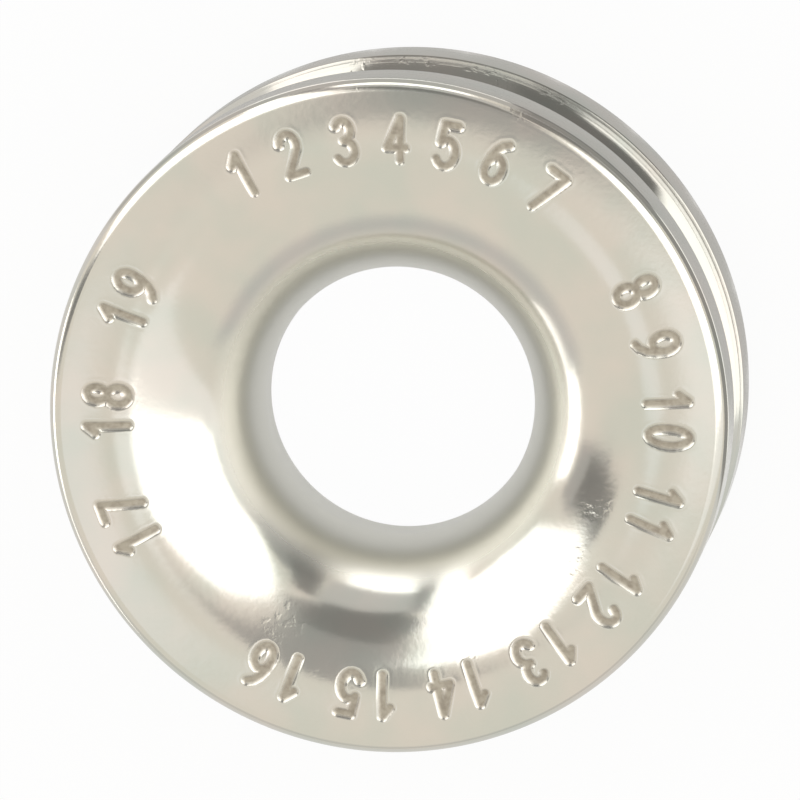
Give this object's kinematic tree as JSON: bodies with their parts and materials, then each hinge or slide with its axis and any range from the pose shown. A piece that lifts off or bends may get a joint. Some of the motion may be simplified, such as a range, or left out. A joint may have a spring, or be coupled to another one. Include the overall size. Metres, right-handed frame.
{
  "type": "low friction ring",
  "caption": "Turned stainless steel ring with a flared throat for a running line and a rope groove round its rim.",
  "frame": {"origin": "centre of the ring, on the throat's axis and midway between the two faces", "axes": "+Z along the throat's axis, out of the upper face; X and Y lie across the ring, which is round"},
  "size_m": [0.0125, 0.0124, 0.005],
  "materials": {
    "stainless_steel": "turned and tumble polished"
  },
  "bodies": {
    "root": {"ring": "stainless_steel"}
  },
  "joints": []
}
